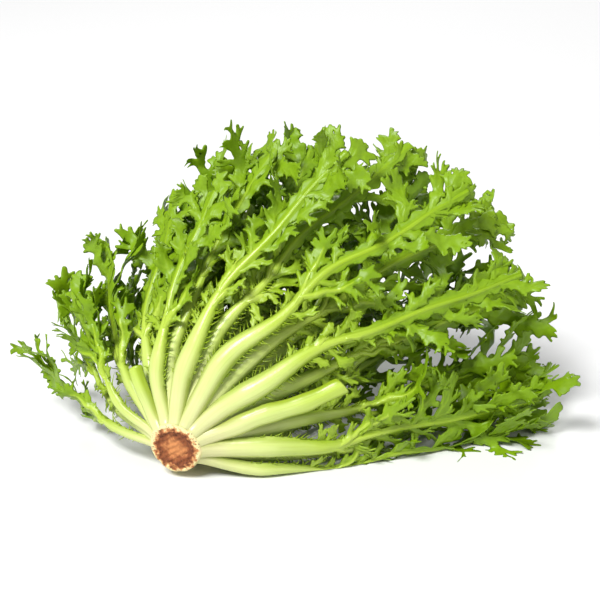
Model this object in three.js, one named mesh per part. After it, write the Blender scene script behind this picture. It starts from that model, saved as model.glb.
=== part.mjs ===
// A head of curly endive, cut at the stem and lying on its side. Millimetres, +Z up.
// The cut face of the stem looks towards -Y, and the leaves fan out from it to the right, upwards and back.
// Every leaf is one closed solid: a fleshy midrib with a thin, lobed blade on each side of it.
// The origin is the middle of the head's footprint, on the surface that it lies on.
import * as THREE from "three";

const { degToRad, lerp, smoothstep } = THREE.MathUtils;

// ---- The stem ----
const CUT_HEIGHT = 18; // middle of the cut face above the surface
const CUT_RADIUS = 13.5;
const COLLAR_RADIUS = 15; // the stem is a little wider just above the cut
const COLLAR_RISE = 9;
const STEM_LENGTH = 47;
const STEM_SIDES = 24;
const STEM_STEPS = 8; // rings of facets on the dome above the collar
const STEM_AXIS = new THREE.Vector3(0.3, 0.95, 0.08).normalize();

// ---- The spread of the leaves ----
const CROWN_AXIS = new THREE.Vector3(0.33, 0.88, 0.36).normalize(); // the middle of the spread
const LEAN_RIGHT = 54; // degrees from that axis to the outermost leaves at the right,
const LEAN_LEFT = 48; // at the left,
const LEAN_ABOVE = 34; // above
const LEAN_BELOW = 24; // and below, where the surface holds them up
const CROWN_RISE = 14; // where the crown axis meets the stem, above the cut
const LONGEST_CLOCK = 20; // the leaves are longest towards this side,
const REACH_CHANGE = 0.26; // by this share, and as much shorter towards the other
const START_LEAN = 74; // degrees from the stem's axis at which the outer leaves start

// ---- What all leaves share ----
const ROOT_GAP = 0.5; // between a rib's root and the stem
const ROOT_WIDTH = 0.42; // width of a rib at its root, as a share of its full width
const FULL_WIDTH_AT = 26; // how far from its root the rib is widest
const THINS_FROM = 0.14; // shares of the length between which the rib thins to a vein
const THINS_TO = 0.55;
const TIP_WIDTH = 0.17; // width of that vein, as a share of the rib's full width
const STUB_WIDTH = 0.85; // width where a rib was cut off, as a share of its full width
const RIB_DEPTH = 0.72; // how far the rib stands out of the leaf's back, as a share of its half width
const RIB_INSIDE = 0.3; // and out of its inner face
const SKIN = 0.35; // least thickness of the flesh on each face at the rib
const RIB_BACK = 0.6; // width of the rib's rounded back, as a share of its width
const EDGE_MARGIN = 1.2; // half width of a leaf where it has no blade, as a share of the rib's half width
const BLADE_STARTS = 0.16; // shares of the length where the blade starts,
const BLADE_FULL = 0.6; // has its full width
const BLADE_ENDS = 0.82; // and narrows towards the tip
const TIP_BLADE = 0.3; // width of the blade at the tip, as a share of its full width
const SINUS = 0.55; // width of the blade between two lobes, as a share of its width at a lobe
const CUPPING = 0.15; // how far the edges lie towards the heart, as a share of the blade's half width
const SQUEEZE = 0.55; // how much narrower the blades are under the head, as a share,
const STRAIGHTER = 0.3; // and how much less its leaves lean at their roots
const TIP_BEND = 0.25; // how far a leaf's end bends away from its starting direction
const ROOT_HANDLE = 0.3; // how long the rib's curve keeps its first direction, as a share of its reach,
const TIP_HANDLE = 0.33; // and its last
const BACK_LEAN = 135; // degrees from the stem's axis that the leaves' backs face
const PRESS_HEIGHT = 3; // flesh lower than this is pressed towards the surface
const OUTER_STATIONS = 19; // sections along an outer leaf,
const STUB_STATIONS = 7; // along a rib that was cut short
const RING_STATIONS = 15; // and along a leaf of the first ring, one fewer in each ring further in
const GREEN_RINGS = 2; // rings of green leaves outside the yellow heart

// ---- The leaves whose backs show at the front ----
// They stand round the stem at even angles, anticlockwise from the lower right. Every second one grows a
// little higher on the stem and ends further back. Directions are in degrees upwards from the right.
const FRONT_PLACES = 19;
const FIRST_CLOCK = -27; // the first root's angle round the stem
const CLOCK_STEP = 12;
const FAN_START = -3; // direction of the first tip from the cut
const FAN_END = 166; // and of the last
const CROWDING = 1.75; // how much closer the tips stand at the right: 1 spaces them evenly
const REACH_RIGHT = 196; // from the cut to the tips, seen from the front, at the right
const REACH_LEFT = 86; // and at the left
const SHORTENING = [30, 110]; // the directions between which the leaves grow shorter
const FIRST_ROLL = 35; // the lowest leaf is rolled towards the surface,
const ROLL_FADES = 2; // and this roll fades over so many places
const NEAR = { rise: 5, depth: [52, 72], rib: [11.5, 8], blade: [17, 12] }; // from the first place to the last
const FAR = { rise: 11, depth: [82, 104], rib: [9, 8], blade: [18, 16] };

// Two leaves that were cut short when the head was trimmed, so that only the rib is left.
const TRIMMED = [
  { place: 4, fan: 20, reach: 90, depth: 10, rib: 10 },
  { place: 14, fan: 118, reach: 42, depth: 18, rib: 10 },
];

// The leaves behind them stand in rings round the crown, from the outside in. spread is how far the ring
// leans out, as a share of the outermost lean, and reach is the distance to the tips.
const RINGS = [
  { name: "second", count: 11, rise: 17, spread: 0.8, reach: 150, lean: 58, rib: 6.5, blade: 17, first: 5 },
  { name: "middle", count: 9, rise: 22.5, spread: 0.61, reach: 149, lean: 47, rib: 5.5, blade: 16, first: 24 },
  { name: "inner", count: 8, rise: 27.5, spread: 0.46, reach: 146, lean: 38, rib: 5, blade: 14, first: 14 },
  { name: "heart", count: 6, rise: 32.5, spread: 0.3, reach: 134, lean: 28, rib: 4.4, blade: 12, first: 20 },
  { name: "core", count: 4, rise: 37.5, spread: 0.14, reach: 114, lean: 18, rib: 3.6, blade: 9, first: 10 },
];

// Two leaves that were cut short when the head was trimmed, so that only the rib is left.
const TRIMMED_RIBS = [
  { clock: 21, rise: 5, tip: [85, 10, 30], rib: 10, stub: true },
  { clock: 141, rise: 5, tip: [-20, 18, 37], rib: 10.5, stub: true },
];

const up = new THREE.Vector3(0, 0, 1);

// A right-handed pair of directions square to an axis: one level, to the right, and one upwards.
function sideways(axis) {
  const right = new THREE.Vector3().crossVectors(axis, up).normalize();
  return { right, above: new THREE.Vector3().crossVectors(right, axis) };
}

// The direction at a clock angle round an axis, square to it.
function round(axis, clock) {
  const { right, above } = sideways(axis);
  const angle = degToRad(clock);
  return right.multiplyScalar(Math.cos(angle)).addScaledVector(above, Math.sin(angle));
}

// The direction that leans away from an axis, towards a clock angle.
function leaning(axis, clock, lean) {
  const angle = degToRad(lean);
  return round(axis, clock).multiplyScalar(Math.sin(angle)).addScaledVector(axis, Math.cos(angle));
}

// The stem's radius at a height above the cut: a short flare to the collar, then half an ellipse.
function stemRadius(rise) {
  if (rise < COLLAR_RISE) {
    return lerp(CUT_RADIUS, COLLAR_RADIUS, Math.sin((rise / COLLAR_RISE) * Math.PI * 0.5));
  }
  const along = (rise - COLLAR_RISE) / (STEM_LENGTH - COLLAR_RISE);
  return COLLAR_RADIUS * Math.sqrt(Math.max(0, 1 - along * along));
}

function stemGeometry() {
  const profile = [new THREE.Vector2(0, 0), new THREE.Vector2(CUT_RADIUS, 0)];
  for (let i = 0; i <= STEM_STEPS; i++) {
    const turn = (i / STEM_STEPS) * Math.PI * 0.5;
    const rise = COLLAR_RISE + (STEM_LENGTH - COLLAR_RISE) * Math.sin(turn);
    profile.push(new THREE.Vector2(i < STEM_STEPS ? stemRadius(rise) : 0, rise));
  }
  const latheAxis = new THREE.Vector3(0, 1, 0);
  const turn = new THREE.Quaternion().setFromUnitVectors(latheAxis, STEM_AXIS);
  return new THREE.LatheGeometry(profile, STEM_SIDES).applyQuaternion(turn).translate(0, 0, CUT_HEIGHT);
}

// The midrib's line: a cubic curve from its root on the stem, starting at its lean, to its tip.
function midrib(leaf) {
  const cut = new THREE.Vector3(0, 0, CUT_HEIGHT);
  const outwards = round(STEM_AXIS, leaf.clock);
  const root = cut.clone().addScaledVector(STEM_AXIS, leaf.rise);
  const clearance = ROOT_GAP + (SKIN + ribHalfWidth(leaf, 0) * RIB_INSIDE) * Math.cos(degToRad(leaf.lean));
  root.addScaledVector(outwards, stemRadius(leaf.rise) + clearance);
  const tip = cut.clone().add(new THREE.Vector3(...leaf.tip));
  const reach = tip.distanceTo(root);
  const start = leaning(STEM_AXIS, leaf.clock, leaf.lean);
  const straight = tip.clone().sub(root).normalize();
  const end = straight.clone().addScaledVector(start, -TIP_BEND).normalize();
  return new THREE.CubicBezierCurve3(
    root,
    root.clone().addScaledVector(start, reach * ROOT_HANDLE),
    tip.clone().addScaledVector(end, -reach * TIP_HANDLE),
    tip,
  );
}

// Half width of the rib at a share of the leaf's length.
function ribHalfWidth(leaf, share) {
  const length = new THREE.Vector3(...leaf.tip).length();
  const flare = lerp(ROOT_WIDTH, 1, smoothstep(share * length, 0, FULL_WIDTH_AT));
  const toStub = lerp(1, STUB_WIDTH, share);
  const toVein = lerp(1, TIP_WIDTH, smoothstep(share, THINS_FROM, THINS_TO));
  return (leaf.rib / 2) * flare * (leaf.stub ? toStub : toVein);
}

// Half width of the blade beyond the rib, where it has a lobe.
function bladeHalfWidth(leaf, share) {
  const opening = smoothstep(share, BLADE_STARTS, BLADE_FULL);
  const closing = lerp(1, TIP_BLADE, smoothstep(share, BLADE_ENDS, 1));
  return leaf.blade * opening * closing;
}

// Flesh near the surface is pressed flat: heights under PRESS_HEIGHT shrink smoothly towards 0.
function pressed(point) {
  if (point.z < PRESS_HEIGHT) point.z = PRESS_HEIGHT * Math.exp(point.z / PRESS_HEIGHT - 1);
  return point;
}

// A closed solid lofted through six-cornered sections, whose corners are one edge, two on the inner face,
// the other edge and two on the back.
function leafGeometry(leaf, stations) {
  const line = midrib(leaf);
  const backwards = leaning(STEM_AXIS, leaf.clock, BACK_LEAN);
  const points = [];
  for (let k = 0; k < stations; k++) {
    const share = k / (stations - 1);
    const along = line.getTangentAt(share);
    const back = backwards.clone().addScaledVector(along, -backwards.dot(along)).normalize();
    back.applyAxisAngle(along, degToRad((leaf.roll ?? 0) * smoothstep(share, 0.05, 0.6)));
    const side = new THREE.Vector3().crossVectors(along, back);
    const rib = ribHalfWidth(leaf, share);
    const lobe = bladeHalfWidth(leaf, share);
    const left = rib * EDGE_MARGIN + lobe * (k % 2 ? 1 : SINUS); // the lobes alternate
    const right = rib * EDGE_MARGIN + lobe * (k % 2 ? SINUS : 1);
    const inside = rib * RIB_INSIDE + SKIN;
    const depth = rib * RIB_DEPTH + SKIN;
    const section = [
      [right, -CUPPING * (right - rib)],
      [rib, -inside],
      [-rib, -inside],
      [-left, -CUPPING * (left - rib)],
      [-rib * RIB_BACK, depth],
      [rib * RIB_BACK, depth],
    ];
    const centre = line.getPointAt(share);
    for (const [across, out] of section) {
      points.push(pressed(centre.clone().addScaledVector(side, across).addScaledVector(back, out)));
    }
  }
  return loft(points, 6);
}

// The closed surface over rings of corners, each ring with the same number, and a flat fan at each end.
function loft(points, corners) {
  const rings = points.length / corners;
  const faces = [];
  for (let k = 0; k < rings - 1; k++) {
    for (let i = 0; i < corners; i++) {
      const a = k * corners + i;
      const b = k * corners + ((i + 1) % corners);
      faces.push(a, b, a + corners, b, b + corners, a + corners);
    }
  }
  const last = (rings - 1) * corners;
  for (let i = 1; i < corners - 1; i++) {
    faces.push(0, i + 1, i, last, last + i, last + i + 1);
  }
  const geometry = new THREE.BufferGeometry().setFromPoints(points).setIndex(faces);
  geometry.computeVertexNormals();
  return geometry;
}

const matte = (colour) => new THREE.MeshStandardMaterial({ color: colour, roughness: 0.55, metalness: 0 });
const materials = {
  stem: matte(0xd8cf96),
  outer: matte(0x86a83a),
  inner: matte(0xb4cc5a),
  heart: matte(0xd6de7c),
};

const head = new THREE.Group();

function add(name, geometry, material) {
  const mesh = new THREE.Mesh(geometry, material);
  mesh.name = name;
  head.add(mesh);
}

const numbered = (name, index) => `${name}_${String(index + 1).padStart(2, "0")}`;

// The end of a leaf, from the middle of the cut: a direction and a reach seen from the front, and a depth.
function fanTip(fan, reach, depth) {
  return [reach * Math.cos(degToRad(fan)), depth, reach * Math.sin(degToRad(fan))];
}

function frontLeaf(place) {
  const share = place / (FRONT_PLACES - 1);
  const row = place % 2 ? FAR : NEAR;
  const fan = lerp(FAN_START, FAN_END, share ** CROWDING);
  const reach = lerp(REACH_RIGHT, REACH_LEFT, smoothstep(fan, ...SHORTENING));
  return {
    clock: FIRST_CLOCK + CLOCK_STEP * place,
    rise: row.rise,
    lean: START_LEAN,
    tip: fanTip(fan, reach, lerp(...row.depth, share)),
    rib: lerp(...row.rib, share * share),
    blade: lerp(...row.blade, share),
    roll: FIRST_ROLL * Math.exp(-place / ROLL_FADES),
  };
}

function trimmedRib({ place, fan, reach, depth, rib }) {
  return { ...frontLeaf(place), tip: fanTip(fan, reach, depth), rib, blade: 0, roll: 0, stub: true };
}

add("cut_stem", stemGeometry(), materials.stem);
const cutPlaces = TRIMMED.map((cut) => cut.place);
Array.from({ length: FRONT_PLACES }, (_, place) => place)
  .filter((place) => !cutPlaces.includes(place))
  .forEach((place, i) => {
    add(numbered("outer_leaf", i), leafGeometry(frontLeaf(place), OUTER_STATIONS), materials.outer);
  });
TRIMMED.forEach((cut, i) => {
  add(numbered("trimmed_rib", i), leafGeometry(trimmedRib(cut), STUB_STATIONS), materials.outer);
});

// How far the outermost leaves lean from the crown axis at a clock angle: an ellipse, flatter below.
function outermostLean(clock) {
  const angle = degToRad(clock);
  const across = Math.cos(angle) / (Math.cos(angle) > 0 ? LEAN_RIGHT : LEAN_LEFT);
  const upright = Math.sin(angle) / (Math.sin(angle) > 0 ? LEAN_ABOVE : LEAN_BELOW);
  return 1 / Math.hypot(across, upright);
}

const crownCentre = STEM_AXIS.clone().multiplyScalar(CROWN_RISE);
RINGS.forEach((ring, ringIndex) => {
  for (let i = 0; i < ring.count; i++) {
    const clock = ring.first + (i * 360) / ring.count;
    const towards = leaning(CROWN_AXIS, clock, ring.spread * outermostLean(clock));
    const longer = 1 + REACH_CHANGE * Math.cos(degToRad(clock - LONGEST_CLOCK));
    const tip = crownCentre.clone().addScaledVector(towards, ring.reach * longer);
    const below = Math.max(0, -Math.sin(degToRad(clock)));
    const blade = ring.blade * (1 - SQUEEZE * below);
    const leaf = { ...ring, clock, tip, blade, lean: ring.lean * (1 - STRAIGHTER * below) };
    const material = ringIndex < GREEN_RINGS ? materials.inner : materials.heart;
    add(numbered(`${ring.name}_leaf`, i), leafGeometry(leaf, RING_STATIONS - ringIndex), material);
  }
});

// The origin goes to the middle of the footprint.
const box = new THREE.Box3().setFromObject(head);
const middle = box.getCenter(new THREE.Vector3());
head.position.set(-middle.x, -middle.y, -box.min.z);

export default head;
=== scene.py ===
"""A head of curly endive, cut at the stem and lying on its side on a pale floor.

Sizes inside the functions are in millimetres, and each mesh is brought to metres when it is made.
"""
import math

import bpy
import numpy as np
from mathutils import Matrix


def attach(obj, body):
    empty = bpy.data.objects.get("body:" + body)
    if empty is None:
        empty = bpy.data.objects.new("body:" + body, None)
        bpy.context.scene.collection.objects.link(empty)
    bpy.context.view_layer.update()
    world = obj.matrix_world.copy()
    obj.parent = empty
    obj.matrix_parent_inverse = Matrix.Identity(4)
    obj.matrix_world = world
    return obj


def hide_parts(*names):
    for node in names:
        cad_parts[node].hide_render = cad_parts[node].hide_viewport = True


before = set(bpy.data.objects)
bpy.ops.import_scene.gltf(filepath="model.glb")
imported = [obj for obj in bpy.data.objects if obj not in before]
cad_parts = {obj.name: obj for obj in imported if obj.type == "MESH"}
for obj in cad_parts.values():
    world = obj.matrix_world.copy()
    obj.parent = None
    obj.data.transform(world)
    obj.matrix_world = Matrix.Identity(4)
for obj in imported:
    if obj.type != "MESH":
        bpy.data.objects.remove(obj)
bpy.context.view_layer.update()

# ---------------------------------------------------------------- the cut stem
# The short, stout core that all leaves grow from, sliced square just below the lowest ribs.
# Its flesh is cream at the rim, and air has browned the middle of the cut into a mottled, rusty ring.

CUT_SEGMENTS = 160
CUT_RECESS = 0.9  # how far the dried middle of the cut has sunk
CUT_EDGE = 1.1  # radius of the worn edge between the cut and the collar
COLLAR_SWELL = 0.5  # how much wider the flesh is under the leaves than at the cut
CREAM = (0.80, 0.70, 0.34)
RIND = (0.70, 0.72, 0.36)
TAN = (0.56, 0.22, 0.07)
BROWN = (0.28, 0.08, 0.02)
RUST = (0.15, 0.034, 0.006)
CHAR = (0.035, 0.012, 0.005)


def node_points(node):
    """A CAD node's separate corners in millimetres, and its triangles as rows of three corner numbers."""
    mesh = node.data
    points = np.empty(len(mesh.vertices) * 3)
    mesh.vertices.foreach_get("co", points)
    corners = np.empty(len(mesh.loops), dtype=np.int64)
    mesh.loops.foreach_get("vertex_index", corners)
    points, number = np.unique(np.round(points.reshape(-1, 3) * 1000, 2), axis=0, return_inverse=True)
    return points, number.ravel()[corners].reshape(-1, 3)


def unit(vectors):
    """Each vector divided by its own length."""
    return vectors / np.maximum(np.linalg.norm(vectors, axis=-1, keepdims=True), 1e-9)


def waves(points, size, seed):
    """A smooth, random height: the mean of six sine waves of about that size, in random directions, doubled."""
    rng = np.random.default_rng(seed)
    directions = unit(rng.normal(size=(6, points.shape[-1])))
    directions = directions * (2 * math.pi / size) * rng.uniform(0.7, 1.5, (6, 1))
    return np.sin(points @ directions.T + rng.uniform(0, 2 * math.pi, 6)).mean(axis=-1) * 2


class Signal:
    """A shader value. Sums, differences and products with numbers or signals add their Math nodes."""

    def __init__(self, finish, socket):
        self.finish = finish
        self.socket = socket

    def calc(self, operation, first, second=0.0):
        return self.finish.node("ShaderNodeMath", {"operation": operation}, {0: first, 1: second})

    def __add__(self, other):
        return self.calc("ADD", self, other)

    def __radd__(self, other):
        return self.calc("ADD", other, self)

    def __sub__(self, other):
        return self.calc("SUBTRACT", self, other)

    def __rsub__(self, other):
        return self.calc("SUBTRACT", other, self)

    def __mul__(self, other):
        return self.calc("MULTIPLY", self, other)

    def __rmul__(self, other):
        return self.calc("MULTIPLY", other, self)


class Finish:
    """A material, and methods that add its shader nodes."""

    def __init__(self, name):
        self.material = bpy.data.materials.new(name)
        self.material.use_nodes = True
        self.material.node_tree.nodes.clear()

    def node(self, kind, settings=None, inputs=None, output=0):
        """Adds a node with its settings, and gives its sockets signals or plain values. Returns one output."""
        tree = self.material.node_tree
        made = tree.nodes.new(kind)
        settings = dict(settings or {})
        stops = settings.pop("stops", None)
        for name, value in settings.items():
            setattr(made, name, value)
        if stops:
            ramp = made.color_ramp
            while len(ramp.elements) < len(stops):
                ramp.elements.new(0.5)
            for element, (place, colour) in zip(ramp.elements, stops):
                element.position = place
                element.color = (*colour, 1)
        for name, value in (inputs or {}).items():
            if isinstance(value, Signal):
                tree.links.new(value.socket, made.inputs[name])
            elif isinstance(value, tuple) and len(value) == 3 and made.inputs[name].type == "RGBA":
                made.inputs[name].default_value = (*value, 1)
            else:
                made.inputs[name].default_value = value
        return Signal(self, made.outputs[output]) if len(made.outputs) else made

    def attribute(self, name):
        """One of the piece's own values, worked out with its mesh."""
        return self.node("ShaderNodeAttribute", {"attribute_name": name}, output=2)

    def step(self, value, low, high):
        """0 below low, 1 above high, and a smooth rise between them."""
        settings = {"interpolation_type": "SMOOTHSTEP"}
        return self.node("ShaderNodeMapRange", settings, {0: value, 1: low, 2: high})

    def noise(self, scale, detail):
        """Noise on the object's own coordinates, with so many cells in a metre."""
        place = self.node("ShaderNodeTexCoord", output=3)
        return self.node("ShaderNodeTexNoise", None, {"Vector": place, "Scale": scale, "Detail": detail})

    def blend(self, factor, first, second):
        """The first colour where the factor is 0, the second where it is 1."""
        return self.node("ShaderNodeMix", {"data_type": "RGBA"}, {0: factor, 6: first, 7: second}, output=2)

    def ramp(self, value, stops):
        """The colour at a value, between stops of place and colour."""
        return self.node("ShaderNodeValToRGB", {"stops": stops}, {"Fac": value})

    def toned(self, colour, hue, saturation, brightness):
        """The colour with its hue turned (0.5 is no turn), its saturation and its brightness multiplied."""
        sockets = {"Color": colour, "Hue": hue, "Saturation": saturation, "Value": brightness}
        return self.node("ShaderNodeHueSaturation", None, sockets)

    def bump(self, height, strength):
        """The normal of a surface with so high a relief."""
        sockets = {"Height": height, "Strength": strength, "Distance": 0.0006}
        return self.node("ShaderNodeBump", None, sockets)


def make_piece(name, points, faces, finish, values, nodes):
    """A smooth mesh object from points in millimetres, with its values and finish, tied to the frame."""
    mesh = bpy.data.meshes.new(name)
    mesh.vertices.add(len(points))
    mesh.vertices.foreach_set("co", (points * 0.001).astype(np.float32).ravel())
    mesh.loops.add(faces.size)
    mesh.loops.foreach_set("vertex_index", faces.astype(np.int32).ravel())
    mesh.polygons.add(len(faces))
    mesh.polygons.foreach_set("loop_start", np.arange(0, faces.size, 3, dtype=np.int32))
    mesh.polygons.foreach_set("use_smooth", np.ones(len(faces), dtype=bool))
    for key, array in values.items():
        mesh.attributes.new(key, "FLOAT", "POINT").data.foreach_set("value", array.astype(np.float32))
    mesh.update(calc_edges=True)
    mesh.validate()
    piece = bpy.data.objects.new(name, mesh)
    bpy.context.scene.collection.objects.link(piece)
    mesh.materials.append(finish.material)
    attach(piece, "root")
    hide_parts(*nodes)
    return piece


def grid_faces(rows, columns, closed):
    """The triangles of a grid of points, row after row. Columns join up round the back where closed."""
    across = np.arange(columns if closed else columns - 1)
    a = (np.arange(rows - 1)[:, None] * columns + across).ravel()
    b = (np.arange(rows - 1)[:, None] * columns + (across + 1) % columns).ravel()
    return np.concatenate([np.stack([a, b, a + columns], 1), np.stack([b, b + columns, a + columns], 1)])


stem_points, stem_faces = node_points(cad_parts["cut_stem"])
use = np.bincount(stem_faces.ravel())
poles = stem_points[np.argsort(use)[-2:]]
cut_centre, stem_tip = poles[np.argsort(poles[:, 1])]
stem_axis = unit(stem_tip - cut_centre)
stem_length = np.linalg.norm(stem_tip - cut_centre)
stem_right = unit(np.cross(stem_axis, [0.0, 0.0, 1.0]))
stem_up = np.cross(stem_right, stem_axis)
rises = (stem_points - cut_centre) @ stem_axis
radii = np.linalg.norm(stem_points - cut_centre - rises[:, None] * stem_axis, axis=1)
cut_radius = radii[rises < 0.1].max()
collar_rise = rises[radii.argmax()]


def stem_surface():
    """The stem as rings of points from the middle of the cut, over its worn edge and collar, to the tip inside.

    The cut sinks towards a dry middle and is uneven. The collar swells gently where each rib leaves it.
    """
    face = np.linspace(0, 1, 46)[1:] * (cut_radius - CUT_EDGE)
    turn = np.linspace(0, 0.5 * math.pi, 8)[1:]
    edge_radius = cut_radius - CUT_EDGE + CUT_EDGE * np.sin(turn)
    edge_rise = CUT_EDGE * (1 - np.cos(turn))
    side = np.linspace(0, 1, 14)[1:]
    collar = cut_radius + COLLAR_SWELL * np.sin(side * math.pi / 2)
    dome = np.linspace(0, 0.5 * math.pi, 26)[1:-1]
    radius = np.concatenate([face, edge_radius, collar, (cut_radius + COLLAR_SWELL) * np.cos(dome)])
    rise = np.concatenate([
        0 * face,
        edge_rise,
        CUT_EDGE + (collar_rise - CUT_EDGE) * side,
        collar_rise + (stem_length - collar_rise) * np.sin(dome),
    ])
    angle = np.linspace(0, 2 * math.pi, CUT_SEGMENTS, endpoint=False)
    radius, angle = radius[:, None], angle[None, :]
    swelling = np.exp(-(((rise - 5.5) / 4.5) ** 2))[:, None]
    ribbed = 0.5 * np.cos(15 * angle + 0.8 * np.sin(2 * angle)) + 0.4 * np.sin(4 * angle + 1.0)
    outline = 0.35 * np.sin(3 * angle + 0.6) + 0.25 * np.sin(7 * angle + 2.0)
    radius = radius + swelling * ribbed + outline * np.clip(radius / cut_radius, 0, 1) ** 3
    flat = np.stack([radius * np.cos(angle), radius * np.sin(angle)], -1)
    share = radius / cut_radius
    on_cut = (rise[:, None] < 0.05) * np.clip((1 - share) * 6, 0, 1)
    sunk = CUT_RECESS * np.clip(1 - (share / 0.72) ** 4, 0, 1) + 0.3 * waves(flat, 3.4, 3)
    on_face = (rise[:, None] < 0.8 * CUT_EDGE) + 0 * angle
    rise = rise[:, None] + on_cut * sunk
    points = cut_centre + flat[..., :1] * stem_right + flat[..., 1:] * stem_up + rise[..., None] * stem_axis
    rings = len(radius)
    values = {
        "from_middle": np.broadcast_to(share, radius.shape).ravel(),
        "on_face": on_face.ravel(),
    }
    points = np.concatenate([points.reshape(-1, 3), [cut_centre + CUT_RECESS * stem_axis, stem_tip]])
    values = {key: np.append(array, ends) for (key, array), ends in zip(values.items(), ([0, 0], [1, 0]))}
    faces = grid_faces(rings, CUT_SEGMENTS, True)
    first = np.arange(CUT_SEGMENTS)
    after = (first + 1) % CUT_SEGMENTS
    last = (rings - 1) * CUT_SEGMENTS
    start = np.stack([np.full(CUT_SEGMENTS, rings * CUT_SEGMENTS), after, first], 1)
    end = np.stack([np.full(CUT_SEGMENTS, rings * CUT_SEGMENTS + 1), last + first, last + after], 1)
    return points, np.concatenate([faces, start, end]), values


def facing_out(points, faces):
    """The same triangles, all turned over if the closed surface that they make is inside out."""
    a, b, c = (points[faces[:, i]] for i in range(3))
    volume = np.einsum("ij,ij->i", a, np.cross(b, c)).sum()
    return faces if volume > 0 else faces[:, ::-1]


stem_finish = Finish("stem_flesh")
from_middle = stem_finish.attribute("from_middle")
mottle = stem_finish.noise(420, 4.0)
blotch = stem_finish.noise(170, 3.0)
specks = stem_finish.step(stem_finish.noise(1100, 1.0), 0.62, 0.7)
wander = from_middle + 0.7 * (mottle - 0.5) + 0.45 * (blotch - 0.5)
on_cut = stem_finish.attribute("on_face")
cut_stops = [(0.0, TAN), (0.25, TAN), (0.46, BROWN), (0.7, RUST), (0.83, TAN), (0.93, CREAM), (1.0, CREAM)]
cut_colour = stem_finish.ramp(wander, cut_stops)
cut_colour = stem_finish.blend(specks * stem_finish.step(from_middle, 0.3, 0.6) * 0.85, cut_colour, CHAR)
rind_colour = stem_finish.blend(stem_finish.step(mottle, 0.45, 0.75) * 0.5, CREAM, RIND)
stem_shader = stem_finish.node(
    "ShaderNodeBsdfPrincipled",
    None,
    {
        "Base Color": stem_finish.blend(on_cut, rind_colour, cut_colour),
        "Roughness": 0.42 + 0.3 * on_cut,
        "Normal": stem_finish.bump(mottle + 0.5 * blotch, 0.5),
    },
)
stem_finish.node("ShaderNodeOutputMaterial", None, {"Surface": stem_shader})
surface, faces, values = stem_surface()
make_piece("stem", surface, facing_out(surface, faces), stem_finish, values, ["cut_stem"])

# ---------------------------------------------------------------- the outer leaves
# Seventeen grown leaves. Each is a thick, pale, rounded rib that thins to a green vein, with a blade on both
# sides. The blade is cut into lobes that fork and fork again like antlers, and each lobe curls its own way.

LOBE_GAP = 16.5  # along the rib, from one lobe to the next on the same side
FORK_ROUNDING = 3.0  # how sharply forks meet: the higher, the tighter
BLADE_HALF = 0.26  # half the blade's thickness
RIB_DEPTH = 0.74  # how far the rib stands out of the back, as a share of its half width
RIB_INSIDE = 0.3
SHEATH_LENGTH = 22.0  # how far from its root an outer rib bends to sheathe the stem
SHEATH_WIDTH = 0.72  # the rib's width at the cut, as a share of its width past that bend
FLESHY = 1.1  # how much wider a rib is than in the CAD
CAD_SKIN = 0.35  # the CAD's flesh between the rib's line and the leaf's inner face
INNER_RISE = 14.0  # leaves that leave the stem higher than this above the cut don't sheathe it
SWAY = 2.2  # how far a leaf's line strays to the side
LOBES_START = 0.3  # share of the length where the first lobes grow
SHORTEST_TIP = 18.0  # no more side lobes grow this near the tip
END_FAN = ((22, 0.0, 17, 3.2), (26, 0.42, 18, 2.7), (25, -0.42, 18, 2.7))  # way back, heading, length, girth
BLADE_STRIP = 0.25  # how much of the blade's width the strip along the rib takes
EDGE_TAPER = 0.7  # how near its edge the blade begins to thin
TOOTH_REACH = 5.0  # length of the soft teeth along a rib


def leaf_line(node):
    """A CAD leaf's stations, from root to tip: rows of centre, side, back, half widths of rib and blade.

    The stations are the rings of six corners, counted outwards from the six nearest the cut. In each ring the
    two corners furthest apart are the blade's edges, and the narrower of the other pairs is the rib's back.
    """
    points, faces = node_points(node)
    hops = np.full(len(points), -1)
    hops[np.argsort(np.linalg.norm(points - cut_centre, axis=1))[:6]] = 0
    ring = 0
    while (hops < 0).any():
        reached = faces[(hops[faces] == ring).any(axis=1)].ravel()
        reached = reached[hops[reached] < 0]
        hops[reached] = ring + 1
        ring += 1
    rings = [points[hops == k] for k in range(ring + 1)]
    along = unit(np.gradient(np.array([r.mean(axis=0) for r in rings]), axis=0))
    rows = []
    for corners, tangent in zip(rings, along):
        apart = np.linalg.norm(corners[:, None] - corners[None], axis=2)
        edges = np.array(np.unravel_index(apart.argmax(), apart.shape))
        rest = corners[np.setdiff1d(np.arange(6), edges)]
        width = unit(corners[edges[0]] - corners[edges[1]])
        rest = rest[np.argsort(rest @ np.cross(tangent, width))]
        pairs = sorted((rest[:2], rest[2:]), key=lambda pair: np.linalg.norm(pair[0] - pair[1]))
        back = unit(pairs[0].mean(axis=0) - pairs[1].mean(axis=0))
        side = unit(np.cross(tangent, back))
        rib = np.linalg.norm(pairs[1][0] - pairs[1][1]) / 2
        centre = pairs[1].mean(axis=0) + back * (RIB_INSIDE * rib + CAD_SKIN)
        blade = np.abs((corners[edges] - centre) @ side).max()
        rows.append(np.concatenate([centre, side, back, [rib, blade]]))
    return rooted(np.array(rows))


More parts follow.
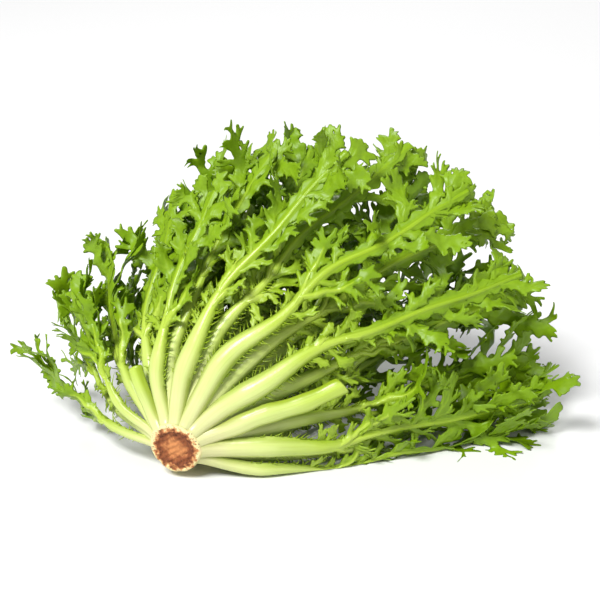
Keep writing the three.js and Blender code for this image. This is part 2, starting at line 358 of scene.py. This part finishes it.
def rooted(rows):
    """The stations with the leaf's root added: an outer rib sheathes the stem right down to the cut.

    The sheath is a cubic curve from inside the cut's edge, leaning outwards at once, to the first station that
    is far enough out. The root of an inner leaf just goes on a little way into the stem.
    """
    out = rows[0, :3] - cut_centre
    rise = out @ stem_axis
    out = unit(out - stem_axis * rise)
    if rise > INNER_RISE:
        inside = rows[0].copy()
        inside[:3] -= 3 * out
        return np.concatenate([[inside], rows])
    keep = np.argmax(np.linalg.norm(rows[:, :3] - rows[0, :3], axis=1) > SHEATH_LENGTH)
    joint = rows[keep]
    tangent = unit(rows[keep + 1, :3] - rows[keep - 1, :3])
    start = cut_centre + stem_axis * 2.8 + out * (cut_radius - (2.4 if rise < 8 else 4.0))
    leaning = unit(stem_axis + out)
    side = np.cross(stem_axis, out)
    side = side * np.sign(side @ joint[3:6])
    sheath = []
    for t in (0, 0.16, 0.34, 0.55, 0.78):
        weight = np.array([(1 - t) ** 3, 3 * t * (1 - t) ** 2, 3 * t**2 * (1 - t), t**3])
        path = np.array([start, start + leaning * 10, joint[:3] - tangent * 10, joint[:3]])
        turned = unit((1 - t) * side + t * joint[3:6])
        back = unit((1 - t) * unit(out - stem_axis) + t * joint[6:9])
        back = unit(back - turned * (back @ turned))
        wide = joint[9] * (SHEATH_WIDTH + (1 - SHEATH_WIDTH) * t)
        sheath.append(np.concatenate([weight @ path, turned, back, [wide, wide]]))
    return np.concatenate([sheath, rows[keep:]])


def smooth_line(rows, seed, step=0.5):
    """A Catmull-Rom curve through the stations, swaying a little, sampled at each step: lengths and rows."""
    ends = np.concatenate([[2 * rows[0] - rows[1]], rows, [2 * rows[-1] - rows[-2]]])
    place = np.linspace(0, len(rows) - 1.0001, 60 * len(rows))
    k = place.astype(int)
    t = (place - k)[:, None]
    a, b, c, d = ends[k], ends[k + 1], ends[k + 2], ends[k + 3]
    fine = 0.5 * (2 * b + (c - a) * t + (2 * a - 5 * b + 4 * c - d) * t**2 + (3 * b - a - 3 * c + d) * t**3)
    length = np.concatenate([[0], np.cumsum(np.linalg.norm(np.diff(fine[:, :3], axis=0), axis=1))])
    even = np.arange(0, length[-1], step)
    even_rows = np.stack([np.interp(even, length, column) for column in fine.T], 1)
    share = even / even[-1]
    sway = SWAY * np.sin(math.pi * share) * waves(even[:, None], 90, seed) * np.clip(share * 4, 0, 1)
    even_rows[:, :3] += even_rows[:, 3:6] * sway[:, None]
    full = even_rows[:, 9].max() * FLESHY
    even_rows[:, 9] = np.maximum(even_rows[:, 9] * FLESHY, full * (0.5 - 0.36 * share) * (share > 0.3))
    return even, even_rows


def on_line(lengths, samples, place):
    """The line's row at each length along it, and straight on past either end."""
    inside = np.clip(place, 0, lengths[-1])
    rows = np.stack([np.interp(inside, lengths, column) for column in samples.T], -1)
    first = unit(samples[1, :3] - samples[0, :3])
    last = unit(samples[-1, :3] - samples[-9, :3])
    past = place - inside
    rows[..., :3] += np.where(past[..., None] < 0, first, last) * past[..., None]
    return rows


def grow_lobe(rng, length, girth):
    """One lobe in the flat, which starts at 0, 0 and grows along the first axis: its strap, and its twigs.

    Both are rows of start, end, and half width at the start and end. The strap widens and bends a little as it
    grows. Fingers leave it on either side in turn, three more end it, and small teeth stand between them. A
    long finger has a smaller one of its own.
    """
    straps = []
    twigs = []
    place = np.array([0.0, 0.0])
    turn = rng.normal(0, 0.09)
    which = rng.integers(2) * 2 - 1
    parts = 2 + int(length > 8) + int(length > 14) + int(length > 21) + int(length > 28)
    heading = 0.0

    def finger(start, way, reach, wide):
        tip = start + reach * np.array([math.cos(way), math.sin(way)])
        twigs.append([*start, *tip, wide, wide * rng.uniform(0.5, 0.75)])
        if reach > 5.5:
            hand = rng.integers(2) * 2 - 1
            fork = start + (tip - start) * rng.uniform(0.45, 0.65)
            cut = way + hand * rng.uniform(0.55, 0.9)
            end = fork + 0.5 * reach * np.array([math.cos(cut), math.sin(cut)])
            twigs.append([*fork, *end, wide * 0.75, wide * 0.4])

    for k in range(parts):
        heading += turn
        end = place + length / parts * np.array([math.cos(heading), math.sin(heading)])
        share = np.array([k, k + 1]) / parts
        straps.append([*place, *end, *(girth * (0.62 + 0.75 * share - 0.45 * share**2))])
        if k > 0:
            which = -which
            start = place + (end - place) * rng.uniform(0.0, 0.6)
            reach = 0.9 * girth + (0.2 * length + 1.8) * rng.uniform(0.6, 1.3)
            finger(start, heading + which * rng.uniform(0.5, 0.9), reach, 0.5 * girth + 0.35)
        for tooth in (-1, 1):
            if length > 6 and rng.uniform() < 0.75:
                cut = heading + tooth * rng.uniform(0.7, 1.15)
                base = place + (end - place) * rng.uniform(0, 1)
                edge = base + (girth + rng.uniform(1.2, 2.6)) * np.array([math.cos(cut), math.sin(cut)])
                twigs.append([*base, *edge, girth * 0.45, 0.2])
        place = end
    for way, share in ((0.6, 0.9), (-0.6, 0.9), (0.0, 1.0)):
        reach = share * (0.33 * length + 2.4) * rng.uniform(0.7, 1.3)
        finger(place, heading + way * rng.uniform(0.7, 1.3), reach, 0.48 * girth + 0.35)
    return np.array(straps), np.array(twigs)


def plan_lobes(rng, lengths, samples, gap, size):
    """A leaf's lobes: rows of place along the rib, heading, length, girth, curl, twist, gutter and stalk.

    They come at uneven gaps on both sides, one side half a gap behind the other. Low on the leaf they are
    short, narrow and close together. Towards the tip they grow longer and wider and lean further forwards. One
    on each side, near mid length, is a branch with a fleshy stalk, and a fan of three ends the leaf. No lobe
    reaches much further than the leaf's tip.
    """
    total = lengths[-1]
    rows = []
    for side in (-1, 1):
        place = total * LOBES_START + (0.5 * gap if side > 0 else 0)
        forks_at = total * rng.uniform(0.32, 0.46)
        while place < total - SHORTEST_TIP:
            full = float(np.clip((place / total - LOBES_START) / 0.4, 0, 1))
            rib, blade = on_line(lengths, samples, np.array(place))[9:11]
            room = max(blade - 0.5 * rib, 2.0) * size
            branch = place >= forks_at
            forks_at = 2 * total if branch else forks_at
            if branch:
                length, girth, stalk = 1.9 * room + 6, 2.3, 0.42 * rib + 0.7
                heading = side * rng.uniform(0.32, 0.5)
            else:
                length = room * rng.uniform(0.9, 1.4) * (0.5 + 0.65 * full)
                heading = side * (rng.uniform(0.75, 1.1) - 0.42 * full)
                girth, stalk = (0.8 + 0.04 * length) * (1 + 0.55 * full) * rng.uniform(0.85, 1.15), 0.0
            length = min(length + rib, (total - place + 3) / (1.33 * math.cos(heading)))
            rows.append((place, heading, length, girth, stalk * size))
            place += gap * rng.uniform(0.85, 1.15) * (0.42 + 0.5 * full)
    for back, heading, length, girth in END_FAN:
        heading += rng.uniform(-0.12, 0.12)
        length *= rng.uniform(0.9, 1.15)
        rows.append((total - back, heading, length, girth * size, 0.0))
    rows = np.array(rows)
    branch_curl = rng.uniform(0.0, 0.015, len(rows))
    curl = np.where(rows[:, 4] > 0, branch_curl, rng.normal(-0.004, 0.028, len(rows)))
    twist = rng.normal(0, 0.03, len(rows))
    gutter = rng.normal(-0.014, 0.02, len(rows))
    curl[-3:] = curl[-1] * 0.6 + 0.2 * curl[-3:]
    twist[-3:] *= 0.5
    return np.column_stack([rows[:, :4], curl, twist, gutter, rows[:, 4]])


def near_segment(u, n, twig):
    """Distance from points to a straight twig, and the share of its length where the nearest point is."""
    start, end = twig[:2], twig[2:4]
    du, dn = end - start
    share = np.clip(((u - start[0]) * du + (n - start[1]) * dn) / (du * du + dn * dn), 0, 1)
    return np.hypot(u - start[0] - share * du, n - start[1] - share * dn), share


def cut_out(u, n, field, cell, layers):
    """Triangles of the part of a grid where the field is above 0, cut along the line where it is 0.

    A grid point that almost lies on the line is slid onto it first. Then each triangle that the line crosses
    is cut, with one new point on each crossed side, and only the largest connected part is kept. Returns the
    faces, each layer's values at the points, and which points are on the edge. The layers start with the
    grid's own two coordinates.
    """
    du, dn = np.gradient(field, cell)
    slope = np.maximum(du * du + dn * dn, 0.05)
    near = np.abs(field) < 0.3 * cell * np.sqrt(slope)
    slide_u = np.where(near, -field * du / slope, 0)
    slide_n = np.where(near, -field * dn / slope, 0)
    slid = []
    for layer in layers:
        grad_u, grad_n = np.gradient(layer, cell, axis=(0, 1))
        slid.append((layer + grad_u * slide_u + grad_n * slide_n).ravel())
    field = np.where(near, 0, field).ravel()
    faces = grid_faces(*u.shape, False)
    inside = field >= 0
    count = inside[faces].sum(1)
    points = len(field)
    crossed = []
    for wanted in (1, 2):
        chosen = faces[count == wanted]
        lone = inside[chosen] if wanted == 1 else ~inside[chosen]
        first = lone.argmax(1)
        pick = np.arange(len(chosen))
        crossed.append([chosen[pick, (first + k) % 3] for k in range(3)])
    sides = [np.stack([lone, other], 1) for lone, *others in crossed for other in others]
    pairs, number = np.unique(np.sort(np.concatenate(sides), axis=1), axis=0, return_inverse=True)
    number = number.ravel() + points
    first, second = pairs.T
    gap = field[first] - field[second]
    mix = field[first] / np.where(np.abs(gap) < 1e-9, 1, gap)
    (a, _, _), (d, e, f) = crossed
    ab, ac, de, df = np.split(number, np.cumsum([len(a), len(a), len(d)]))
    faces = [faces[count == 3], np.stack([a, ab, ac], 1), np.stack([de, e, f], 1), np.stack([de, f, df], 1)]
    faces = np.concatenate(faces)
    slid = [np.concatenate([v, v[first] + (v[second] - v[first]) * mix]) for v in slid]
    edge = np.concatenate([field == 0, np.ones(len(pairs), bool)])
    a, b, c = (np.stack(slid[:2], 1)[faces[:, k]] for k in range(3))
    area = (b - a)[:, 0] * (c - a)[:, 1] - (b - a)[:, 1] * (c - a)[:, 0]
    faces = faces[np.abs(area) > 1e-4]
    parts = np.arange(len(slid[0]))
    while True:
        lower = parts.copy()
        np.minimum.at(lower, faces.ravel(), np.repeat(parts[faces].min(1), 3))
        if (lower == parts).all():
            break
        parts = lower[lower]
    largest = np.bincount(parts[faces[:, 0]]).argmax()
    faces = faces[parts[faces[:, 0]] == largest]
    used, number = np.unique(faces, return_inverse=True)
    return number.reshape(-1, 3), [v[used] for v in slid], edge[used]


def thicken(middle, faces, back, edge, outside, within, values):
    """A sheet closed to a skin: one side is pushed out along its normals, the other in, joined at the edge."""
    a, b, c = (middle[faces[:, k]] for k in range(3))
    tilt = np.cross(b - a, c - a)
    corners = faces.ravel()
    sums = [np.bincount(corners, np.repeat(tilt[:, k], 3), len(middle)) for k in range(3)]
    normal = unit(np.stack(sums, 1))
    if (normal * back).sum() < 0:
        normal, faces = -normal, faces[:, ::-1]
    inner = np.cumsum(~edge) - 1 + len(middle)
    inner[edge] = np.nonzero(edge)[0]
    outside = np.where(edge, 0, outside)
    within = np.where(edge, 0, within)
    inner_points = (middle - normal * within[:, None])[~edge]
    points = np.concatenate([middle + normal * outside[:, None], inner_points])
    values = {key: np.concatenate([array, array[~edge]]) for key, array in values.items()}
    values["inner_face"] = np.concatenate([np.where(edge, 0.5, 0.0), np.ones((~edge).sum())])
    return points, np.concatenate([faces, inner[faces][:, ::-1]]), values


def midrib_sheet(rng, lengths, samples, cell):
    """The rib and the narrow strip of blade along it, as one skin.

    In the flat, a point is inside where its distance from the rib's line is under the rib's half width plus
    the strip's, which is wavy. The rib stands out of the back as part of an oval, and less out of the inner
    face.
    """
    total = lengths[-1]
    widest = samples[:, 9].max() + 9
    u = np.arange(-cell, total + 2 * cell, cell)
    n = np.arange(-math.ceil(widest / cell), math.ceil(widest / cell) + 1) * cell
    u, n = np.meshgrid(u, n, indexing="ij")
    row = on_line(lengths, samples, u)
    rib, blade = row[..., 9], row[..., 10]
    share = np.clip(u / total, 0, 1)
    open_share = np.clip((share - LOBES_START) / 0.5, 0, 1)
    wavy = 1 + 0.3 * np.sin(u * 0.6 + 2 * np.sign(n))
    strip = open_share * BLADE_STRIP * np.clip(blade - rib, 0, None) * wavy
    field = np.minimum(np.minimum(rib + strip - np.abs(n), u), 0.7 * (total - 4 - u))
    flat = np.stack([u, n], -1)
    crinkle = 1.2 * waves(flat, 32, int(rng.integers(1 << 30)))
    height = crinkle * np.clip(np.abs(n) / 8, 0, 1) - 0.12 * np.abs(n) * open_share
    layers = [u, n, field, rib, share, height]
    faces, (u, n, field, rib, share, height), edge = cut_out(u, n, field, cell, layers)
    rows = on_line(lengths, samples, u)
    side, back = unit(rows[:, 3:6]), unit(rows[:, 6:9])
    middle = rows[:, :3] + side * n[:, None] + back * height[:, None]
    across = np.clip(np.abs(n) / np.maximum(rib, 0.3), 0, 1)
    bulge = (1 - across**2) ** 0.6
    thin = BLADE_HALF * np.clip(np.maximum(field, 0) / EDGE_TAPER, 0, 1) ** 0.5
    values = {
        "along": share,
        "flesh": 1 - np.clip((across - 0.8) / 0.2, 0, 1),
        "vein": np.clip((np.abs(n) - rib) * 0.9, 0, 9),
        "across": n / np.maximum(rib, 0.3),
    }
    outside = np.maximum(thin, RIB_DEPTH * rib * bulge)
    return thicken(middle, faces, back, edge, outside, thin + RIB_INSIDE * rib * bulge, values)


def lobe_sheet(rng, lengths, samples, cell, lobe):
    """One lobe as a skin of its own, which starts inside the rib.

    In the flat, a point is inside if it is nearer to a twig than that twig's half width, and the twigs are
    joined softly, so that they meet in rounded bays. The lobe then rolls along its length to an arc, turns
    about its own length, folds to a gutter and crinkles. A branch has a fleshy stalk along its strap.
    """
    place, heading, length, girth, curl, twist, gutter, stalk = lobe
    straps, twigs = grow_lobe(rng, length, girth)
    twigs = np.concatenate([straps, twigs])
    low = np.minimum(twigs[:, :2].min(0), twigs[:, 2:4].min(0)) - girth - 2 * cell
    high = np.maximum(twigs[:, :2].max(0), twigs[:, 2:4].max(0)) + girth + 2 * cell
    u, n = np.meshgrid(np.arange(low[0], high[0], cell), np.arange(low[1], high[1], cell), indexing="ij")
    field = 0
    vein = np.full(u.shape, 99.0)
    seed = int(rng.integers(1 << 30))
    flat = np.stack([u, n], -1)
    bend = np.clip(u / 10, 0, 1)
    bent_u = u + bend * 0.8 * waves(flat, 16, seed)
    bent_n = n + bend * 1.1 * waves(flat, 16, seed + 1)
    for twig in twigs:
        gap, part = near_segment(bent_u, bent_n, twig)
        field = field + np.exp(FORK_ROUNDING * (twig[4] + (twig[5] - twig[4]) * part - gap))
        vein = np.minimum(vein, gap + (3 if twig[5] < 0.3 else 0) + 0.03 * np.maximum(u, 0))
    field = np.log(field) / FORK_ROUNDING
    fleshy = 0 * u
    if stalk:
        from_strap = np.min([near_segment(bent_u, bent_n, strap)[0] for strap in straps], axis=0)
        stalk_wide = stalk * np.clip(1.1 - 0.9 * u / length, 0.2, 1) + 0.01
        fleshy = 1 - np.clip(from_strap / stalk_wide, 0, 1) ** 2
    layers = [u, n, field, vein, fleshy]
    faces, (u, n, field, vein, fleshy), edge = cut_out(u, n, field, cell, layers)
    fleshy = np.clip(fleshy, 0, 1)
    row = on_line(lengths, samples, np.array(place))
    root, side, back = row[:3], unit(row[3:6]), unit(row[6:9])
    tangent = np.cross(side, back)
    tangent *= np.sign(tangent @ (on_line(lengths, samples, np.array(place + 1.0))[:3] - root))
    ahead = math.cos(heading) * tangent + math.sin(heading) * side
    aside = -math.sin(heading) * tangent + math.cos(heading) * side
    free = np.clip(u - 1.2 * row[9], 0, None)[:, None]
    curl = curl if abs(curl) > 1e-4 else 1e-4
    arc = np.clip(curl * free, -2.6, 2.6)
    spine = root + ahead * (u[:, None] - free + np.sin(arc) / curl) + back * (1 - np.cos(arc)) / curl
    up = back * np.cos(arc) - ahead * np.sin(arc)
    turn = twist * free
    across, normal = aside * np.cos(turn) + up * np.sin(turn), up * np.cos(turn) - aside * np.sin(turn)
    loose = np.clip(free[:, 0] / 8, 0, 1)
    flat = np.stack([u, n], -1)
    fold = gutter * n * n
    crinkle = 1.9 * waves(flat, 26, seed + 2) + 0.35 * waves(flat, 9, seed + 3)
    height = loose * (fold / (1 + np.abs(fold) / 3) + crinkle)
    middle = spine + across * n[:, None] + normal * height[:, None] - back * 0.1 * free
    thin = BLADE_HALF * np.clip(np.maximum(field, 0) / EDGE_TAPER, 0, 1) ** 0.5
    ridge = 0.18 * np.exp(-((vein / 0.7) ** 2)) * np.clip(field, 0, 1)
    share = np.clip((place + u * math.cos(heading)) / lengths[-1], 0, 1)
    values = {
        "along": share,
        "flesh": np.clip(fleshy * 2, 0, 1),
        "vein": vein,
        "across": 1 - fleshy,
    }
    bulge = stalk * fleshy**0.6 * np.clip(1.1 - 0.9 * u / length, 0.2, 1)
    return thicken(middle, faces, normal, edge, thin + ridge + 0.8 * bulge, thin + 0.3 * bulge, values)


def pressed(points, height=3.0):
    """Flesh lower than the height is pressed towards the surface that the head lies on, and stays above it."""
    z = points[:, 2]
    points[:, 2] = np.where(z < height, height * np.exp(np.minimum(z, height) / height - 1), z)
    return points


def soft_teeth(rng, lengths, samples, start, end, gap):
    """Soft teeth along both edges of a rib: three-sided tapering threads that lean forwards and curl."""
    places = np.concatenate([np.arange(start, end, gap) for side in (0, 1)])
    side = np.where(np.arange(len(places)) < len(places) // 2, -1.0, 1.0)
    places = places + rng.uniform(-0.5, 0.5, len(places)) * gap
    rows = on_line(lengths, samples, places)
    ahead = on_line(lengths, samples, places + 1)[:, :3] - rows[:, :3]
    centre, across, back, rib = rows[:, :3], rows[:, 3:6] * side[:, None], rows[:, 6:9], rows[:, 9:10]
    column = (len(places), 1)
    length = TOOTH_REACH * rng.uniform(0.3, 1.2, column) * np.clip((places[:, None] - start) / 25 + 0.3, 0, 1)
    lean = rng.uniform(0.1, 0.9, column)
    lift = rng.uniform(-0.35, 0.6, column)
    out = unit(across + ahead * lean + back * lift)
    hook = unit(ahead * rng.uniform(-0.3, 1.0, column) + back * rng.uniform(-0.8, 0.8, column))
    root = centre + across * (rib - 0.6)
    t = np.array([0, 0.25, 0.5, 0.75, 1.0])
    girth = np.array([0.62, 0.42, 0.3, 0.2, 0.05])
    bow = hook[:, None] * length[:, None] * (0.5 * t**2)[:, None]
    path = root[:, None] + out[:, None] * (0.6 + length[:, None] * t[:, None]) + bow
    one, two = unit(np.cross(out, back)), back
    angle = np.arange(3) * 2 * math.pi / 3
    ring = one[:, None, None] * np.cos(angle)[:, None] + two[:, None, None] * np.sin(angle)[:, None]
    points = path[:, :, None] + ring * girth[:, None, None]
    each = len(t) * 3
    tube = grid_faces(len(t), 3, True)
    tube = np.concatenate([tube, [[0, 2, 1], [each - 3, each - 2, each - 1]]])
    faces = (tube[None] + (np.arange(len(places)) * each)[:, None, None]).reshape(-1, 3)
    a, b, c = (points.reshape(-1, 3)[faces[: len(tube), k]] for k in range(3))
    middle = points[0].reshape(-1, 3).mean(0)
    if np.einsum("ij,ij->i", a - middle, np.cross(b - middle, c - middle)).sum() < 0:
        faces = faces[:, ::-1]
    return points.reshape(-1, 3), faces, np.repeat(places / lengths[-1], each)


def make_leaf(name, seed, finish, size, cell=0.85, gap=LOBE_GAP, tooth_gap=2.3):
    """One leaf over its CAD node: the rib with its strip of blade, then each lobe, then the rib's teeth."""
    rng = np.random.default_rng(seed)
    lengths, samples = smooth_line(leaf_line(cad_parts[name]), seed)
    sheets = [midrib_sheet(rng, lengths, samples, cell)]
    for lobe in plan_lobes(rng, lengths, samples, gap, size):
        sheets.append(lobe_sheet(rng, lengths, samples, cell, lobe))
    first, last = 0.15 * lengths[-1], (LOBES_START + 0.14) * lengths[-1]
    teeth, tooth_faces, tooth_share = soft_teeth(rng, lengths, samples, first, last, tooth_gap)
    plain = {"along": 0.25 + 0.4 * tooth_share, "flesh": 0.75, "vein": 3.0, "across": 1.0, "inner_face": 0.0}
    plain = {key: np.broadcast_to(value, len(teeth)) for key, value in plain.items()}
    sheets.append((teeth, tooth_faces, plain))
    offset = np.cumsum([0] + [len(sheet[0]) for sheet in sheets])
    points = np.concatenate([sheet[0] for sheet in sheets])
    faces = np.concatenate([sheet[1] + start for sheet, start in zip(sheets, offset)])
    values = {key: np.concatenate([sheet[2][key] for sheet in sheets]) for key in plain}
    return make_piece(name + "_grown", pressed(points), faces, finish, values, [name])


def leaf_finish(name, rib_stops, blade_stops, inner_dark):
    """A leaf's finish: a fleshy rib with greener sides that also carry painted shade, and a thin blade that
    lets light through. Both change from root to tip.
    """
    finish = Finish(name)
    along = finish.attribute("along")
    flesh = finish.attribute("flesh")
    vein = finish.attribute("vein")
    across = finish.attribute("across")
    broad = finish.noise(42, 2.0)
    fine = finish.noise(330, 3.0)
    streak = finish.node("ShaderNodeCombineXYZ", None, {0: across * 2.6, 1: along * 3.0, 2: 0.0})
    streak = finish.node("ShaderNodeTexNoise", None, {"Vector": streak, "Scale": 2.4, "Detail": 2.0})
    place = along + 0.25 * (broad - 0.5)
    rib_colour = finish.ramp(place, rib_stops)
    blade_colour = finish.ramp(place, blade_stops)
    darker = finish.toned(blade_colour, 0.5, 1.06, inner_dark)
    blade_colour = finish.blend(finish.attribute("inner_face"), blade_colour, darker)
    deep = finish.toned(blade_colour, 0.507, 1.05, 0.62)
    blade_colour = finish.blend(finish.step(fine, 0.42, 0.72) * 0.4, blade_colour, deep)
    vein_mask = 1 - finish.step(vein, 0.2, 1.3)
    blade_colour = finish.blend(vein_mask * 0.4, blade_colour, rib_colour)
    stripe = finish.toned(rib_colour, 0.5, 1.12, 0.8)
    rib_colour = finish.blend(finish.step(streak, 0.45, 0.7) * 0.3, rib_colour, stripe)
    # The rib's sides are greener, as a real rib's are, and darker as painted shade, so that the pale crest
    # looks lit.
    greener_shaded_flank = finish.toned(rib_colour, 0.508, 1.4, 0.55)
    rib_colour = finish.blend(finish.step(across * across, 0.15, 0.95) * 0.8, rib_colour, greener_shaded_flank)
    colour = finish.blend(flesh, blade_colour, rib_colour)
    height = 0.5 * fine + 0.7 * vein_mask + 0.5 * streak * flesh
    skin = finish.node(
        "ShaderNodeBsdfPrincipled",
        None,
        {
            "Base Color": colour,
            "Roughness": 0.44 - 0.18 * flesh,
            "Normal": finish.bump(height, 0.4),
            "Specular IOR Level": 0.42,
        },
    )
    glow = finish.node("ShaderNodeBsdfTranslucent", None, {"Color": (0.50, 0.72, 0.03)})
    both = finish.node("ShaderNodeMixShader", None, {0: 0.18, 1: skin, 2: glow})
    finish.node("ShaderNodeOutputMaterial", None, {"Surface": both})
    return finish


outer_finish = leaf_finish(
    "outer_leaf",
    [
        (0.0, (0.78, 0.77, 0.38)),
        (0.08, (0.76, 0.80, 0.34)),
        (0.2, (0.70, 0.81, 0.26)),
        (0.38, (0.54, 0.70, 0.10)),
        (0.6, (0.38, 0.56, 0.03)),
        (1.0, (0.27, 0.45, 0.01)),
    ],
    [
        (0.0, (0.46, 0.60, 0.07)),
        (0.35, (0.32, 0.48, 0.016)),
        (0.62, (0.21, 0.37, 0.004)),
        (1.0, (0.24, 0.41, 0.008)),
    ],
    0.8,
)
for number in range(1, 18):
    upper = 6 <= number <= 13
    size = 1.1 if upper else 1.3
    gap = 1.25 * LOBE_GAP if upper else LOBE_GAP
    make_leaf(f"outer_leaf_{number:02d}", 100 + number, outer_finish, size, gap=gap)

# ---------------------------------------------------------------- the inner leaves
# Rings of younger leaves stand behind the outer ones. The outer two rings are coloured darker than the outer
# leaves, as painted shade of the deep gaps inside the head; the inner rings are paler and finer than those two.
# The heart is blanched yellow, because no light gets in while the head grows.

RING_SIZE = 1.2  # length of the lobes, as a share of the CAD blade's width
SPREAD_SIZE = 1.7  # the same from straight below round to the right: a ring's last quarter and first leaf

# Painted shade: these ribs and blades are darker than the outer leaves', standing in for the shade deep inside
# the head.
shaded_inner_finish = leaf_finish(
    "inner_leaf",
    [
        (0.0, (0.62, 0.68, 0.24)),
        (0.3, (0.46, 0.60, 0.10)),
        (0.6, (0.32, 0.48, 0.04)),
        (1.0, (0.27, 0.44, 0.012)),
    ],
    [
        (0.0, (0.30, 0.42, 0.04)),
        (0.35, (0.20, 0.34, 0.008)),
        (0.65, (0.16, 0.30, 0.004)),
        (1.0, (0.24, 0.42, 0.008)),
    ],
    0.75,
)
heart_finish = leaf_finish(
    "heart_leaf",
    [(0.0, (0.74, 0.76, 0.34)), (0.4, (0.60, 0.68, 0.20)), (1.0, (0.48, 0.62, 0.08))],
    [(0.0, (0.44, 0.52, 0.09)), (0.5, (0.32, 0.45, 0.03)), (1.0, (0.30, 0.48, 0.02))],
    0.85,
)
for ring, count, finish, material_slot, cell, seed in (
    ("second_leaf", 11, shaded_inner_finish, "inner_leaf", 1.05, 200),
    ("middle_leaf", 9, shaded_inner_finish, "inner_leaf", 1.15, 300),
    ("inner_leaf", 8, heart_finish, "heart_leaf", 1.15, 400),
    ("heart_leaf", 6, heart_finish, "heart_leaf", 1.2, 500),
    ("core_leaf", 4, heart_finish, "heart_leaf", 1.2, 600),
):
    for number in range(1, count + 1):
        size = SPREAD_SIZE if number == 1 or number > 0.75 * count else RING_SIZE
        make_leaf(f"{ring}_{number:02d}", seed + number, finish, size, cell=cell, tooth_gap=3.6)

# ---------------------------------------------------------------- the trimmed ribs
# Two ribs whose blades were torn or cut away when the head was trimmed. Each is a fleshy, rounded strip
# that ends in a blunt cut.

RIB_SEGMENTS = 40


def rib_tube(lengths, samples, around):
    """A rib alone: an oval carried along its line, deeper at the back, uneven in width, with a slanted end."""
    place = np.concatenate([np.arange(0, lengths[-1] - 0.6, 0.9), lengths[-1] - np.array([0.6, 0.2, 0.0])])
    rows = on_line(lengths, samples, place)
    angle = np.linspace(0, 2 * math.pi, around, endpoint=False)[None, :]
    close = np.ones(len(place))
    close[-3:] = [0.97, 0.86, 0.0]
    wide = (rows[:, 9] * close * (1 + 0.04 * np.sin(place * 0.35)))[:, None]
    deep = np.where(np.sin(angle) > 0, RIB_DEPTH + 0.08, RIB_INSIDE + 0.15) * wide
    across = np.cos(angle) * wide
    out = np.sin(angle) * deep * (1 + 0.03 * np.cos(7 * angle))
    centre, side, back = (rows[:, None, k : k + 3] for k in (0, 3, 6))
    points = centre + across[..., None] * side + out[..., None] * back
    slant = 0.35 * (across + 0.6 * out) * np.clip((place - lengths[-1] + 6) / 6, 0, 1)[:, None]
    points += slant[..., None] * unit(np.gradient(rows[:, :3], axis=0))[:, None]
    share = np.broadcast_to((place / lengths[-1])[:, None], across.shape)
    values = {"along": share.ravel() * 0.4, "across": np.broadcast_to(np.cos(angle), across.shape).ravel()}
    return points.reshape(-1, 3), grid_faces(len(place), around, True), values


for number in (1, 2):
    name = f"trimmed_rib_{number:02d}"
    lengths, samples = smooth_line(leaf_line(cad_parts[name]), number)
    points, faces, values = rib_tube(lengths, samples, RIB_SEGMENTS)
    fan = np.arange(1, RIB_SEGMENTS - 1)
    cap = np.stack([0 * fan, fan + 1, fan], 1)
    faces = np.concatenate([faces, cap])
    for key, value in (("flesh", 1.0), ("vein", 5.0), ("inner_face", 0.0)):
        values[key] = np.full(len(points), value)
    points = pressed(points)
    make_piece(name + "_grown", points, facing_out(points, faces), outer_finish, values, [name])

# ---------------------------------------------------------------- the setting
# A pale floor and soft lights: a large key above and to the left, a weak fill at the right and one behind.

FLOOR_HALF = 3.0  # metres, as is everything in this section
PALE_GREY = (0.80, 0.80, 0.80)

floor_mesh = bpy.data.meshes.new("floor")
floor_corners = [(x * FLOOR_HALF, y * FLOOR_HALF, 0) for x, y in ((-1, -1), (1, -1), (1, 1), (-1, 1))]
floor_mesh.from_pydata(floor_corners, [], [(0, 1, 2, 3)])
floor = bpy.data.objects.new("floor", floor_mesh)
bpy.context.scene.collection.objects.link(floor)
floor_finish = Finish("floor_paper")
floor_shader = floor_finish.node("ShaderNodeBsdfPrincipled", None, {"Base Color": PALE_GREY, "Roughness": 0.8})
floor_finish.node("ShaderNodeOutputMaterial", None, {"Surface": floor_shader})
floor_mesh.materials.append(floor_finish.material)

world = bpy.data.worlds.new("studio")
world.use_nodes = True
world.node_tree.nodes["Background"].inputs["Color"].default_value = (1, 1, 1, 1)
world.node_tree.nodes["Background"].inputs["Strength"].default_value = 0.17
bpy.context.scene.world = world
bpy.context.scene.view_settings.view_transform = "Standard"


def soft_light(name, place, target, size, power):
    """A square area light at a place, turned to face the target."""
    light = bpy.data.lights.new(name, "AREA")
    light.size = size
    light.energy = power
    lamp = bpy.data.objects.new(name, light)
    away = np.array(place) - np.array(target)
    pitch = math.atan2(math.hypot(away[0], away[1]), away[2])
    lamp.location = place
    lamp.rotation_euler = (pitch, 0, math.atan2(away[0], -away[1]))
    bpy.context.scene.collection.objects.link(lamp)


soft_light("key", (-1.3, -1.7, 2.7), (0.02, 0, 0.05), 1.1, 162)
soft_light("fill", (0.95, -0.6, 0.6), (0.02, 0, 0.05), 0.9, 2.5)
soft_light("back", (0.4, 2.6, 2.2), (0.02, 0, 0.08), 1.2, 45)

LENS = 85.0
SENSOR = 36.0
DISTANCE = 0.71
ELEVATION = math.radians(22)
AIM_RIGHT = 0.0627  # how far the view's middle is to the right of the cut
AIM_ABOVE = 0.0747  # and above it, square to the view
forward = np.array([0, math.cos(ELEVATION), -math.sin(ELEVATION)])
upward = np.array([0, math.sin(ELEVATION), math.cos(ELEVATION)])
cut = cut_centre * 0.001
position = cut - forward * DISTANCE
position += np.array([AIM_RIGHT, 0, 0]) + upward * AIM_ABOVE
camera_data = bpy.data.cameras.new("camera")
camera_data.lens = LENS
camera_data.sensor_width = SENSOR
camera = bpy.data.objects.new("camera", camera_data)
camera.location = position
camera.rotation_euler = (math.pi / 2 - ELEVATION, 0, 0)
bpy.context.scene.collection.objects.link(camera)
bpy.context.scene.camera = camera
